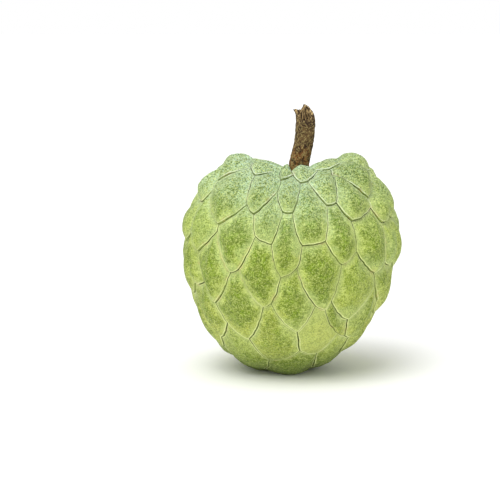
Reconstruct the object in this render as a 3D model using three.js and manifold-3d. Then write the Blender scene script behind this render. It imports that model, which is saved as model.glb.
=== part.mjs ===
// A custard apple (sugar apple, Annona squamosa) with the stump of its stalk, resting on its underside.
// Two solids: the fruit, a heart-shaped body whose skin is raised into overlapping leaf-shaped scales,
// and the woody stem, whose foot stands in a socket between the topmost scales.
// Millimetres, +Z up, +X to the right, -Y to the front; the origin is under the fruit, on its resting spot.
import * as THREE from "three";
import { mergeVertices } from "three/addons/utils/BufferGeometryUtils.js";
import Module from "manifold-3d";

// ---------------------------------------------------------------- driving dimensions

// Half outlines of the body without its scales, from the stem down to the apex: [radius, height].
// The right and left ones run over the two lobes of the heart, the others through the clefts between them.
const RIGHT_OUTLINE = [
  [0, 75.4], [5, 75.8], [10, 78.4], [15, 81.1], [20, 81.7], [25.5, 79.4], [30, 75.0],
  [34, 69.2], [37.4, 62.9], [40.1, 55.9], [41.1, 48.4], [40.4, 40.4], [38.3, 32.4],
  [35.3, 24.9], [31, 17.2], [25, 9.9], [18, 4.2], [9.5, 0.3], [0, -1],
];
const FRONT_OUTLINE = [
  [0, 75.4], [5, 76.2], [10, 78.6], [15, 78.8], [20, 77.0], [25, 74.0], [29.5, 69.9],
  [33.5, 64.7], [36.8, 58.9], [39.2, 52.4], [40, 45.4], [39.4, 38.4], [37.4, 31.4],
  [34.4, 24.4], [30, 17.2], [24.2, 9.9], [17.6, 4.2], [9.5, 0.3], [0, -1],
];
const LEFT_OUTLINE = [
  [0, 75.4], [5, 75.6], [10, 77.4], [15, 80.1], [20.5, 82.0], [26.5, 80.9], [31.8, 77.0],
  [36, 71.0], [39, 64.0], [40.7, 56.2], [41, 48.4], [39.8, 40.4], [37.8, 32.4],
  [35, 24.9], [31, 17.0], [25.4, 9.4], [18.4, 3.8], [9.5, 0.2], [0, -1],
];
const BACK_OUTLINE = [
  [0, 75.4], [5, 75.2], [10, 75.6], [15, 75.8], [20, 75.0], [25, 72.8], [29.5, 69.3],
  [33.5, 64.5], [36.8, 58.9], [39.2, 52.4], [40, 45.4], [39.4, 38.4], [37.4, 31.4],
  [34.4, 24.4], [30, 17.2], [24.2, 9.9], [17.6, 4.2], [9.5, 0.3], [0, -1],
];
const AXIS_LEAN = 5.2; // the body's axis has moved this far to +X at LEAN_HEIGHT
const LEAN_HEIGHT = 78.4;
const BODY_RADIUS = 40; // roughly, to turn a distance along the skin into an angle

// Scales that face the front, row by row from the stem down: [theta, phi, room].
// theta is 0 at the stem and 180 at the apex, phi is -90 at the front and 0 at +X, both in degrees;
// room (mm2) lets a scale grow over its neighbours, or gives way to them where it is negative.
const FRONT_SCALES = [
  [16, -39.5, -19], [26, -137.5, -8], [26, -85.5, -4], [28.5, -109.5, -15], [36, -159, -12],
  [37, -67, 28], [38, -39.5, 33], [39, -122, 31], [43.5, -97, 26], [48.5, -142.5, 55], [51, -176, 0],
  [45.5, -50.5, 48], [52, -82.5, 55], [57, -106.5, 21], [59, -28.5, 1], [68.5, -150, 7],
  [65.5, -63, 24], [70, -177, 0], [71, -126, 38], [66.5, -95.5, 19], [76.5, -42, 54], [79, -26, 2],
  [87, -137.5, 30], [86, -109.5, 12], [89, -74.5, 22], [94, -153, -19], [98.5, -50, 55],
  [105.5, -86, 4], [99.5, -29, -12], [107.5, -122, 29], [116, -150.5, 13], [115, -36, 6],
  [117.5, -58.5, -12], [130.5, -99, 39], [127, -68.5, 15], [145, -133.5, 36], [147, -45.5, 3],
  [157, -84.5, 64],
];
// Scales round the back, in staggered rows between phi 0 and 180: [theta, how many].
const BACK_ROWS = [
  [22, 3], [36, 4], [52, 6], [68, 7], [84, 7], [100, 7], [116, 6], [132, 5], [147, 4], [162, 3],
];
const BACK_STAGGER = 0.25; // how far each row is turned against the next, as a share of a scale's width
// Corners between the front scales: [theta, phi]. Each in turn takes the nearest corner that is still free.
const FRONT_CORNERS = [
  [22, -119.5], [24, -51], [27, -99.5], [29.5, -56], [36, -133], [33, -143], [33, -109.5],
  [33, -83], [34.5, -90], [42, -108], [50.5, -63], [51.5, -70], [54, -125], [54, -36],
  [55, -100], [55.5, -93.5], [56, -160], [58, -118], [59.5, -37], [63, -55],
  [72.5, -138], [69, -138.5], [69, -30.5], [70, -113], [72, -73], [73.5, -103], [74, -86],
  [80, -54], [85.5, -63], [86, -151.5], [86, -88], [88.5, -120], [90.5, -29.5],
  [91, -125], [91, -96], [94.5, -38.5], [101, -146.5], [102, -34], [105.5, -66], [106, -101],
  [107.5, -75], [108, -105.5], [110, -68.5], [111, -139.5], [119, -49], [122, -134], [124, -84],
  [128, -51], [131, -120], [131, -43], [134, -150], [139, -79], [142, -61.5], [148, -108.5],
];
const CORNER_REACH = 6; // how far a corner may be moved, in degrees
const UNDERSIDE_SCALES = [[162, -60], [162, -120]]; // two more under the front: [theta, phi]
const COLLAR_ANGLE = 7; // theta of the circle round the stem where the scales end
const SCALE_SQUASH = 0.68; // a scale's width divided by its length

// Relief of a scale, as heights from the bottom of the seam round it.
// Height of a scale's middle: [theta, height].
const SWELL = [[0, 2.4], [25, 3.8], [50, 4.3], [75, 3.4], [110, 2.4], [140, 2.2], [180, 1.5]];
const SWELL_VARIES = 0.15; // share by which one scale differs from the next
const TIP_RIM = 0.34; // rim height at a scale's lower tip, as a share of its swell
const TOP_RIM = 0.16; // the same at its upper end, which is tucked under the scales above
const RIM_WIDTH = 0.4; // from the bottom of the seam to the rim
const FRAME_WIDTH = 1.2; // from the seam to where the cushion in the middle begins
const CUSHION_FOOT = 1.2; // the higher, the flatter the cushion begins inside the rim
const CUSHION_CROWN = 2.0; // the higher, the flatter it is in the middle
const CUSHION_RING = 0.42; // how far from the frame to the middle its one ring of points lies
const RIM_TAPER = 2.2; // the higher, the more of the rim's height is near the tip
const RIM_LIMIT = 0.25; // the rim is never further from the seam than this share of the way to the middle
const FRAME_LIMIT = 0.3; // the same for the frame
const PEAK_LOW = 0.12; // how far below its middle a scale stands out most, as a share of its length
const SEAM_SINK = 0.72; // share of the swell by which the seams lie below the bare body
const TIP_BULGE = 0.08; // how far a scale's lower edges bow outwards, as a share of their length
const EDGE_STEP = 3.8; // spacing of the points along a scale's edge
const COLLAR_STEP = 1.5; // the same round the stem, where the socket's circle needs them closer

// Stem: [x, y, z, radius] along its middle, from the foot in the socket to where it was torn off.
const STEM_PATH = [
  [4.8, 0, 71.4, 3.4], [4.8, 0, 75.5, 3.75], [4.9, 0, 78.5, 3.85], [5.55, 0.1, 82.0, 3.8],
  [6.4, 0.2, 85.6, 3.7], [7.0, 0.35, 89.5, 3.7], [7.3, 0.5, 94.5, 3.7],
];
const STEM_SIDES = 24;
const STEM_RINGS = 20;
const BARK_LUMPS = 0.16; // height of the bark's knobs
// Lip of the torn end: [turn in degrees, distance from the stem's middle, height over the last ring].
// The front has broken away low down; the back wall stands and folds over, and a splinter points to -X.
const TORN_LIP = [
  [0, 2.5, 4.2], [30, 1.9, 5.2], [60, 1.6, 5.8], [90, 1.4, 6.4], [115, 1.9, 6.3], [130, 2.2, 5.0],
  [150, 2.9, 4.2], [165, 3.4, 4.4], [180, 4.9, 4.8], [195, 3.5, 3.2], [215, 3.2, 1.6], [240, 3.2, 0.7],
  [270, 3.3, 0.8], [300, 3.3, 0.9], [330, 3.1, 2.2], [360, 2.5, 4.2],
];
const LIP_WIDTH = 0.8; // thickness of the wall along the lip
const LIP_SLANT = 0.4; // how much lower its inner edge is
const SHOULDER_HEIGHT = 0.58; // where the wall begins to fold, as a share of the lip's height
const SHOULDER_FOLD = 0.3; // how far it has folded in there, as a share of the lip's fold
const HOLLOW_RADIUS = 1.9;
const HOLLOW_DEPTH = 0.9; // how far the hollow in the torn end goes below the last ring
const HOLLOW_TILT = 0.25; // how much of the lip's height its edge follows
const SOCKET_RADIUS = 4.35;
const SOCKET_FLOOR = 70.9;
const COLLAR_DEPTH = 0.7; // how far the socket's rim lies below the bare body

const SKIN_GREEN = 0xa6c27a;
const BARK_BROWN = 0x6b5238;

const DEGREE = Math.PI / 180;

// ---------------------------------------------------------------- small helpers

const mix = (a, b, t) => a + (b - a) * t;
const smooth = (t) => t * t * (3 - 2 * t);

// The value at x of a line through [place, value] pairs.
function along(pairs, x) {
  const next = pairs.findIndex(([place]) => place >= x);
  if (next <= 0) return pairs[next === 0 ? 0 : pairs.length - 1][1];
  const [a, b] = [pairs[next - 1], pairs[next]];
  return mix(a[1], b[1], (x - a[0]) / (b[0] - a[0]));
}

// A repeatable series of numbers between 0 and 1.
function seededSeries(seed) {
  let state = seed;
  return () => {
    state = (state * 16807) % 2147483647;
    return state / 2147483647;
  };
}

// ---------------------------------------------------------------- the bare body

const OUTLINE_SAMPLES = 600;

// An outline as points evenly spaced along it; each end is mirrored so that the curve crosses the axis level.
function evenOutline(points) {
  const second = points[1];
  const lastButOne = points[points.length - 2];
  const mirrored = [[-second[0], second[1]], ...points, [-lastButOne[0], lastButOne[1]]];
  const curve = new THREE.SplineCurve(mirrored.map(([r, z]) => new THREE.Vector2(r, z)));
  const spans = mirrored.length - 1;
  const steps = 40 * (spans - 2);
  const dense = Array.from({ length: steps + 1 }, (_, k) =>
    curve.getPoint((1 + ((spans - 2) * k) / steps) / spans),
  );
  const travelled = [0];
  for (let k = 1; k <= steps; k++) travelled.push(travelled[k - 1] + dense[k].distanceTo(dense[k - 1]));
  const even = [];
  let k = 0;
  for (let i = 0; i < OUTLINE_SAMPLES; i++) {
    const goal = (travelled[steps] * i) / (OUTLINE_SAMPLES - 1);
    while (k < steps - 1 && travelled[k + 1] < goal) k++;
    const share = (goal - travelled[k]) / (travelled[k + 1] - travelled[k]);
    even.push(dense[k].clone().lerp(dense[k + 1], Math.min(share, 1)));
  }
  return even;
}

const rightOutline = evenOutline(RIGHT_OUTLINE);
const frontOutline = evenOutline(FRONT_OUTLINE);
const leftOutline = evenOutline(LEFT_OUTLINE);
const backOutline = evenOutline(BACK_OUTLINE);

// A place on the bare body from its angles, in radians.
function bodyPoint(theta, phi) {
  const place = (Math.min(Math.max(theta, 0), Math.PI) / Math.PI) * (OUTLINE_SAMPLES - 1);
  const i = Math.min(Math.floor(place), OUTLINE_SAMPLES - 2);
  const on = (outline) => outline[i].clone().lerp(outline[i + 1], place - i);
  const side = on(Math.cos(phi) > 0 ? rightOutline : leftOutline);
  const face = on(Math.sin(phi) < 0 ? frontOutline : backOutline);
  const { x: r, y: z } = face.lerp(side, smooth(Math.cos(phi) ** 2));
  const lean = AXIS_LEAN * Math.min(Math.max(z / LEAN_HEIGHT, 0), 1) ** 2;
  return new THREE.Vector3(r * Math.cos(phi) + lean, r * Math.sin(phi), z);
}

// Angles are carried as unit vectors, so that nothing special happens at the stem and at the apex.
function direction(theta, phi) {
  return new THREE.Vector3(Math.sin(theta) * Math.cos(phi), Math.sin(theta) * Math.sin(phi), Math.cos(theta));
}

function bodyAt(dir) {
  return bodyPoint(Math.acos(Math.min(Math.max(dir.z, -1), 1)), Math.atan2(dir.y, dir.x));
}

const NORMAL_STEP = 0.01;

// The outward normal of the bare body at a direction.
function normalAt(dir) {
  const a = new THREE.Vector3(0, 0, 1).cross(dir);
  if (a.lengthSq() < 1e-8) a.set(0, 1, 0);
  a.normalize();
  const b = dir.clone().cross(a);
  const slope = (t) =>
    bodyAt(dir.clone().addScaledVector(t, NORMAL_STEP).normalize()).sub(
      bodyAt(dir.clone().addScaledVector(t, -NORMAL_STEP).normalize()),
    );
  return slope(a).cross(slope(b)).normalize();
}

// ---------------------------------------------------------------- where the scales are

const COLLAR = 0; // place of the collar round the stem in the list of scales

// A scale's seed: its direction, its place, the way down the body there, its room, and its shape.
function makeScale(thetaDegrees, phiDegrees, room = 0, { fixed = false, round = false } = {}) {
  const scale = { room, fixed, round };
  aim(scale, direction(thetaDegrees * DEGREE, phiDegrees * DEGREE));
  return scale;
}

function aim(scale, dir) {
  const theta = Math.acos(dir.z);
  const phi = Math.atan2(dir.y, dir.x);
  scale.dir = dir;
  scale.theta = theta / DEGREE;
  scale.place = bodyPoint(theta, phi);
  scale.down = bodyPoint(theta + NORMAL_STEP, phi).sub(bodyPoint(theta - NORMAL_STEP, phi)).normalize();
}

const LONG_SHARE = 1 - SCALE_SQUASH ** 2;

// How far a point is from a scale, as a squared distance that counts less along the scale's length.
function reach(scale, p) {
  const x = p.x - scale.place.x;
  const y = p.y - scale.place.y;
  const z = p.z - scale.place.z;
  const lengthwise = scale.round ? 0 : x * scale.down.x + y * scale.down.y + z * scale.down.z;
  return x * x + y * y + z * z - LONG_SHARE * lengthwise * lengthwise - scale.room;
}

// Which scale covers a sample of the body; within the collar's circle that is the collar, the first of them.
function owner(scales, { dir, point }) {
  if (dir.z > Math.cos(COLLAR_ANGLE * DEGREE)) return COLLAR;
  let best = COLLAR;
  let least = Infinity;
  for (let i = COLLAR + 1; i < scales.length; i++) {
    const r = reach(scales[i], point);
    if (r < least) [best, least] = [i, r];
  }
  return best;
}

// Points all over the bare body, in rows from stem to apex.
function sampleGrid(rows, columns) {
  return Array.from({ length: rows }, (_, i) =>
    Array.from({ length: columns }, (_, j) => {
      const dir = direction((Math.PI * i) / (rows - 1), 2 * Math.PI * (j / columns) - Math.PI);
      return { dir, point: bodyAt(dir) };
    }),
  );
}

const RELAX_ROWS = 120;
const RELAX_STEPS = 30;

// The hidden scales spread out evenly: each moves to the middle of its own patch of skin, again and again.
function spreadEvenly(scales) {
  const grid = sampleGrid(RELAX_ROWS, 2 * RELAX_ROWS);
  const samples = [];
  for (let i = 1; i < RELAX_ROWS - 1; i++) {
    for (let j = 0; j < 2 * RELAX_ROWS; j++) {
      const { dir, point } = grid[i][j];
      const down = grid[i + 1][j].point.clone().sub(grid[i - 1][j].point);
      const across = grid[i][(j + 1) % (2 * RELAX_ROWS)].point.clone().sub(point);
      samples.push({ dir, point, area: down.cross(across).length() });
    }
  }
  for (let step = 0; step < RELAX_STEPS; step++) {
    const middles = scales.map(() => new THREE.Vector3());
    for (const sample of samples) middles[owner(scales, sample)].addScaledVector(sample.dir, sample.area);
    scales.forEach((scale, i) => {
      if (!scale.fixed) aim(scale, middles[i].normalize());
    });
  }
}

function placeScales() {
  const scales = [makeScale(0.5, 0, 0, { fixed: true, round: true })];
  for (const [theta, phi, room] of FRONT_SCALES) scales.push(makeScale(theta, phi, room, { fixed: true }));
  scales.push(makeScale(179.5, 0, 0, { fixed: true, round: true }));
  BACK_ROWS.forEach(([theta, count], row) => {
    const stagger = row % 2 ? BACK_STAGGER : -BACK_STAGGER;
    for (let k = 0; k < count; k++) scales.push(makeScale(theta, (180 * (k + 0.5 + stagger)) / count));
  });
  for (const [theta, phi] of UNDERSIDE_SCALES) scales.push(makeScale(theta, phi));
  spreadEvenly(scales);
  return scales;
}

// ---------------------------------------------------------------- the seams between the scales

const GRID_ROWS = 360;

// The corners where three scales meet: { scales: [a, b, c], dir }.
function findCorners(scales) {
  const grid = sampleGrid(GRID_ROWS, 2 * GRID_ROWS);
  for (const row of grid) for (const sample of row) sample.scale = owner(scales, sample);
  const corners = new Map();
  const visit = (a, b, c) => {
    const meeting = [a.scale, b.scale, c.scale].sort((p, q) => p - q);
    if (meeting[0] === meeting[1] || meeting[1] === meeting[2]) return;
    const key = meeting.join(" ");
    if (!corners.has(key)) corners.set(key, { scales: meeting, dir: new THREE.Vector3() });
    corners.get(key).dir.add(a.dir).add(b.dir).add(c.dir);
  };
  for (let i = 0; i < GRID_ROWS - 1; i++) {
    for (let j = 0; j < 2 * GRID_ROWS; j++) {
      const k = (j + 1) % (2 * GRID_ROWS);
      visit(grid[i][j], grid[i][k], grid[i + 1][j]);
      visit(grid[i][k], grid[i + 1][k], grid[i + 1][j]);
    }
  }
  const found = [...corners.values()].map(({ scales: meeting, dir }) => ({
    scales: meeting,
    dir: meeting[0] === COLLAR ? ontoCollar(dir) : dir.normalize(),
  }));
  setFrontCorners(found);
  return found;
}

// Moves the corners between the front scales to their own places.
function setFrontCorners(corners) {
  const free = corners.filter((corner) => corner.scales[0] !== COLLAR);
  for (const [theta, phi] of FRONT_CORNERS) {
    const goal = direction(theta * DEGREE, phi * DEGREE);
    const nearer = (best, corner) => (corner.dir.dot(goal) > best.dir.dot(goal) ? corner : best);
    const nearest = free.reduce(nearer);
    if (nearest.dir.dot(goal) < Math.cos(CORNER_REACH * DEGREE)) {
      throw new Error("no corner is near theta " + theta + ", phi " + phi);
    }
    free.splice(free.indexOf(nearest), 1);
    nearest.dir = goal;
  }
}

// The nearest direction on the collar's circle.
function ontoCollar(dir) {
  const outwards = Math.sin(COLLAR_ANGLE * DEGREE) / Math.hypot(dir.x, dir.y);
  return new THREE.Vector3(dir.x * outwards, dir.y * outwards, Math.cos(COLLAR_ANGLE * DEGREE));
}

// The seam between two neighbouring scales as directions from one corner to the other, without the second
// corner; it bows towards the lower scale, whose upper end the other one covers.
function seamBetween(a, b, from, to, onCollar) {
  const length = bodyAt(from.dir).distanceTo(bodyAt(to.dir));
  const parts = Math.max(1, Math.round(length / (onCollar ? COLLAR_STEP : EDGE_STEP)));
  const over = b.dir.clone().sub(a.dir);
  const lower = ((b.theta - a.theta) * DEGREE) / over.length();
  const bow = over.normalize().multiplyScalar(TIP_BULGE * lower * from.dir.distanceTo(to.dir));
  return Array.from({ length: parts }, (_, k) => {
    const t = k / parts;
    const straight = from.dir.clone().lerp(to.dir, t);
    return onCollar ? ontoCollar(straight) : straight.addScaledVector(bow, 4 * t * (1 - t)).normalize();
  });
}

// The outline of each scale: seam directions in order round it, anticlockwise seen from outside.
function traceOutlines(scales) {
  const corners = findCorners(scales);
  const seams = new Map();
  const seamFor = (i, j, from, to) => {
    const [low, high] = i < j ? [i, j] : [j, i];
    const key = low + " " + high;
    if (!seams.has(key)) {
      const dirs = seamBetween(scales[low], scales[high], from, to, low === COLLAR);
      seams.set(key, { from, dirs });
    }
    return seams.get(key);
  };
  return scales.map((scale, i) => {
    const own = corners.filter((corner) => corner.scales.includes(i));
    const east = scale.dir.clone().cross(new THREE.Vector3(0.31, 0.17, 0.93)).normalize();
    const north = scale.dir.clone().cross(east);
    const turn = (corner) => Math.atan2(corner.dir.dot(north), corner.dir.dot(east));
    own.sort((p, q) => turn(p) - turn(q));
    const outline = [];
    own.forEach((from, k) => {
      const to = own[(k + 1) % own.length];
      const other = from.scales.find((s) => s !== i && to.scales.includes(s));
      if (other === undefined) throw new Error("scale " + i + " has a gap in its outline");
      const seam = seamFor(i, other, from, to);
      const inner = seam.dirs.slice(1);
      outline.push(from.dir, ...(seam.from === from ? inner : inner.toReversed()));
    });
    return outline;
  });
}

// ---------------------------------------------------------------- the fruit

const swellAt = (thetaDegrees) => along(SWELL, thetaDegrees);

// A point of the skin at a height above the bottom of the seams.
function skinPoint(dir, height) {
  const theta = Math.acos(Math.min(Math.max(dir.z, -1), 1)) / DEGREE;
  return bodyAt(dir).addScaledVector(normalAt(dir), height - SEAM_SINK * swellAt(theta));
}

// How a scale's height grows from its rim to its middle, for a share of the way between them.
const cushion = (share) => 1 - (1 - Math.max(share, 0) ** CUSHION_FOOT) ** CUSHION_CROWN;

// Rings of skin points from the seam round a scale over its rim and its flat frame to its raised middle.
function scaleRings(scale, outline, swell) {
  const middle = outline.reduce((sum, dir) => sum.add(dir), new THREE.Vector3()).normalize();
  if (!scale.round) {
    const depths = outline.map((dir) => bodyAt(dir).dot(scale.down));
    const length = Math.max(...depths) - Math.min(...depths);
    middle.addScaledVector(scale.down, (PEAK_LOW * length) / BODY_RADIUS).normalize();
  }
  const centre = bodyAt(middle);
  const spokes = outline.map((dir) => {
    const spoke = bodyAt(dir).sub(centre);
    const length = spoke.length();
    const tip = (1 + spoke.dot(scale.down) / length) / 2;
    return { length, rim: swell * mix(TOP_RIM, TIP_RIM, tip ** RIM_TAPER) };
  });
  const frame = (length) => Math.min(FRAME_WIDTH, FRAME_LIMIT * length);
  const ring = (distanceOf) =>
    outline.map((dir, k) => {
      const { length, rim } = spokes[k];
      const distance = distanceOf(length);
      const rise = distance > 0 ? rim : 0;
      const height = rise + (swell - rim) * cushion((distance - RIM_WIDTH) / (length - RIM_WIDTH));
      return skinPoint(dir.clone().lerp(middle, distance / length).normalize(), height);
    });
  return [
    ring(() => 0),
    ring((length) => Math.min(RIM_WIDTH, RIM_LIMIT * length)),
    ring(frame),
    ring((length) => mix(frame(length), length, CUSHION_RING)),
    [skinPoint(middle, swell)],
  ];
}

// Rings of the narrow collar round the stem, which drops into the socket for its foot.
function socketRings(outline) {
  const [footX, footY] = STEM_PATH[0];
  const circle = (radius, height) =>
    outline.map((dir) => {
      const edge = bodyAt(dir);
      const turn = Math.atan2(edge.y - footY, edge.x - footX);
      return new THREE.Vector3(footX + radius * Math.cos(turn), footY + radius * Math.sin(turn), height);
    });
  const rimHeight = FRONT_OUTLINE[0][1] - COLLAR_DEPTH;
  return [
    outline.map((dir) => skinPoint(dir, 0)),
    circle(SOCKET_RADIUS, rimHeight),
    circle(SOCKET_RADIUS - 0.1, SOCKET_FLOOR),
    [new THREE.Vector3(footX, footY, SOCKET_FLOOR)],
  ];
}

// Adds the triangles between two rings of points, or between a ring and the single point inside it.
function bridge(triangles, outer, inner) {
  outer.forEach((p, k) => {
    const next = (k + 1) % outer.length;
    if (inner.length === 1) {
      triangles.push(p, outer[next], inner[0]);
      return;
    }
    triangles.push(p, outer[next], inner[next]);
    triangles.push(p, inner[next], inner[k]);
  });
}

const MERGE_DISTANCE = 1e-4; // points nearer than this are one point

function geometryOf(triangles) {
  const geometry = new THREE.BufferGeometry().setFromPoints(triangles);
  return mergeVertices(geometry, MERGE_DISTANCE);
}

const wasm = await Module();
wasm.setup();

function solidOf(geometry) {
  const bare = geometry.clone();
  bare.deleteAttribute("normal");
  bare.deleteAttribute("uv");
  const merged = mergeVertices(bare, MERGE_DISTANCE);
  return new wasm.Manifold(
    new wasm.Mesh({
      numProp: 3,
      vertProperties: new Float32Array(merged.attributes.position.array),
      triVerts: new Uint32Array(merged.index.array),
    }),
  );
}

function geometryFrom(solid) {
  const { vertProperties, triVerts } = solid.getMesh();
  const geometry = new THREE.BufferGeometry();
  geometry.setAttribute("position", new THREE.BufferAttribute(vertProperties, 3));
  geometry.setIndex(new THREE.BufferAttribute(triVerts, 1));
  geometry.computeVertexNormals();
  return geometry;
}

// The part of the underside that the fruit's weight presses flat lies in this block, whose top is the table.
function tableBlock() {
  const [width, depth] = [60, 10];
  return new THREE.BoxGeometry(width, width, depth).translate(0, 0, -depth / 2);
}

function buildFruit() {
  const scales = placeScales();
  const outlines = traceOutlines(scales);
  const random = seededSeries(7);
  const triangles = [];
  scales.forEach((scale, i) => {
    const swell = swellAt(scale.theta) * (1 + SWELL_VARIES * (2 * random() - 1));
    const rings = i === COLLAR ? socketRings(outlines[i]) : scaleRings(scale, outlines[i], swell);
    for (let k = 0; k + 1 < rings.length; k++) bridge(triangles, rings[k], rings[k + 1]);
  });
  const grown = solidOf(geometryOf(triangles));
  const resting = grown.subtract(solidOf(tableBlock()));
  const skin = new THREE.MeshStandardMaterial({ color: SKIN_GREEN, roughness: 0.75, metalness: 0 });
  const mesh = new THREE.Mesh(geometryFrom(resting), skin);
  mesh.name = "fruit";
  return mesh;
}

// ---------------------------------------------------------------- the stem

// Height of the bark over its mean at a turn round the stem and a share of its length.
function barkLump(turn, share) {
  const knobs = Math.sin(3 * turn + 9 * share) * Math.sin(13 * share - turn);
  const grain = Math.sin(7 * turn + 5 * share) * Math.cos(31 * share + 2 * turn);
  return BARK_LUMPS * (0.7 * knobs + 0.6 * grain);
}

// The lip of the torn end at a turn: its distance from the stem's middle and its height over the last ring.
function tornLip(turn) {
  const degrees = turn / DEGREE;
  return {
    radius: along(TORN_LIP.map(([at, radius]) => [at, radius]), degrees),
    height: along(TORN_LIP.map(([at, , height]) => [at, height]), degrees),
  };
}

function buildStem() {
  const path = new THREE.CatmullRomCurve3(STEM_PATH.map(([x, y, z]) => new THREE.Vector3(x, y, z)));
  const radii = new THREE.SplineCurve(STEM_PATH.map(([, , z, radius]) => new THREE.Vector2(z, radius)));
  const circle = (middle, radiusAt, liftAt) =>
    Array.from({ length: STEM_SIDES }, (_, k) => {
      const turn = (2 * Math.PI * k) / STEM_SIDES;
      const radius = radiusAt(turn);
      return new THREE.Vector3(radius * Math.cos(turn), radius * Math.sin(turn), liftAt(turn)).add(middle);
    });
  const rings = [[path.getPoint(0)]];
  for (let i = 0; i <= STEM_RINGS; i++) {
    const share = i / STEM_RINGS;
    const radius = radii.getPoint(share).y;
    rings.push(circle(path.getPoint(share), (turn) => radius + barkLump(turn, share), () => 0));
  }
  const end = path.getPoint(1);
  const endRadius = STEM_PATH[STEM_PATH.length - 1][3];
  const shoulder = (turn) => mix(endRadius, Math.min(tornLip(turn).radius, endRadius), SHOULDER_FOLD);
  rings.push(
    circle(end, shoulder, (turn) => SHOULDER_HEIGHT * tornLip(turn).height),
    circle(end, (turn) => tornLip(turn).radius, (turn) => tornLip(turn).height),
    circle(end, (turn) => tornLip(turn).radius - LIP_WIDTH, (turn) => tornLip(turn).height - LIP_SLANT),
    circle(end, () => HOLLOW_RADIUS, (turn) => HOLLOW_TILT * tornLip(turn).height - HOLLOW_DEPTH / 2),
  );
  rings.push([end.clone().add(new THREE.Vector3(0, 0, -HOLLOW_DEPTH))]);
  const triangles = [];
  for (let k = 1; k + 1 < rings.length; k++) bridge(triangles, rings[k], rings[k + 1]);
  rings[1].forEach((p, k) => triangles.push(rings[0][0], rings[1][(k + 1) % STEM_SIDES], p));
  const bark = new THREE.MeshStandardMaterial({ color: BARK_BROWN, roughness: 0.9, metalness: 0 });
  const mesh = new THREE.Mesh(geometryOf(triangles), bark);
  mesh.name = "stem";
  return mesh;
}

// ---------------------------------------------------------------- the whole part

const custardApple = new THREE.Group();
custardApple.name = "custard_apple";
custardApple.add(buildFruit(), buildStem());

export default custardApple;
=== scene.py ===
"""A custard apple: its scaly skin and the bark of its stem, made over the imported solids.

The file is laid out as an add-on and run as a script, with an operator for each piece and one for the stage.
Sizes in the tables are millimetres, as on the solids. Everything in Blender is metres, in the same frame.
"""
import math

import bpy
import numpy as np
from bpy.props import FloatProperty, FloatVectorProperty, IntProperty, PointerProperty
from bpy.types import Operator, Panel, PropertyGroup
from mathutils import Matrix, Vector, noise


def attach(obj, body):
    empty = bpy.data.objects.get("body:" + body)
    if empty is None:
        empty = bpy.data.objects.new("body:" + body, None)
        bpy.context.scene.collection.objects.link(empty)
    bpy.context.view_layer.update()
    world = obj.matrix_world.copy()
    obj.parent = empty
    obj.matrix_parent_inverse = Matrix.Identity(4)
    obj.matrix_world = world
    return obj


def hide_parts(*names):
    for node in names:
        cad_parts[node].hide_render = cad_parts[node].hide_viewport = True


bl_info = {
    "name": "Custard Apple",
    "version": (1, 0, 0),
    "blender": (4, 5, 0),
    "location": "View3D > Sidebar > Custard Apple",
    "description": "Builds the skin and stem of a custard apple over its solid frame",
    "category": "Add Mesh",
}

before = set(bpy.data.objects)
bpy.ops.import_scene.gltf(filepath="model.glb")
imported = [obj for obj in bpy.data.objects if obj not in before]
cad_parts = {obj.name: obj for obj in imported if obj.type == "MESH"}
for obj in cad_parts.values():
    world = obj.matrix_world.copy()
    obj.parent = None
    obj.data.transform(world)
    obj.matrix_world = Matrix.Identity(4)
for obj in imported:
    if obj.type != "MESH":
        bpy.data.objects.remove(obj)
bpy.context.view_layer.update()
MM = 0.001

# ---------------------------------------------------------------- sizes and places

# Half outlines of the body without its scales, from the stem down to the apex: (radius, height).
# The right and left ones run over the two lobes of the heart, the others through the clefts between them.
RIGHT_OUTLINE = (
    (0, 75.4), (5, 75.8), (10, 78.4), (15, 81.1), (20, 81.7), (25.5, 79.4), (30, 75.0),
    (34, 69.2), (37.4, 62.9), (40.1, 55.9), (41.1, 48.4), (40.4, 40.4), (38.3, 32.4),
    (35.3, 24.9), (31, 17.2), (25, 9.9), (18, 4.2), (9.5, 0.3), (0, -1),
)
FRONT_OUTLINE = (
    (0, 75.4), (5, 76.2), (10, 78.6), (15, 78.8), (20, 77.0), (25, 74.0), (29.5, 69.9),
    (33.5, 64.7), (36.8, 58.9), (39.2, 52.4), (40, 45.4), (39.4, 38.4), (37.4, 31.4),
    (34.4, 24.4), (30, 17.2), (24.2, 9.9), (17.6, 4.2), (9.5, 0.3), (0, -1),
)
LEFT_OUTLINE = (
    (0, 75.4), (5, 75.6), (10, 77.4), (15, 80.1), (20.5, 82.0), (26.5, 80.9), (31.8, 77.0),
    (36, 71.0), (39, 64.0), (40.7, 56.2), (41, 48.4), (39.8, 40.4), (37.8, 32.4),
    (35, 24.9), (31, 17.0), (25.4, 9.4), (18.4, 3.8), (9.5, 0.2), (0, -1),
)
BACK_OUTLINE = (
    (0, 75.4), (5, 75.2), (10, 75.6), (15, 75.8), (20, 75.0), (25, 72.8), (29.5, 69.3),
    (33.5, 64.5), (36.8, 58.9), (39.2, 52.4), (40, 45.4), (39.4, 38.4), (37.4, 31.4),
    (34.4, 24.4), (30, 17.2), (24.2, 9.9), (17.6, 4.2), (9.5, 0.3), (0, -1),
)
SPAN_STEPS = 40  # points measured along each span of an outline
OUTLINE_SAMPLES = 600
BODY_RADIUS = 40  # roughly, to turn lengths along the body into angles
AXIS_LEAN = 5.2  # the body's axis has moved this far to +X at LEAN_HEIGHT
LEAN_HEIGHT = 78.4
NORMAL_STEP = 0.01  # angle on either side over which slopes are measured, in radians
NEAR_AXIS = 1e-4  # a direction this close to the axis has no side of its own

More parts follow.
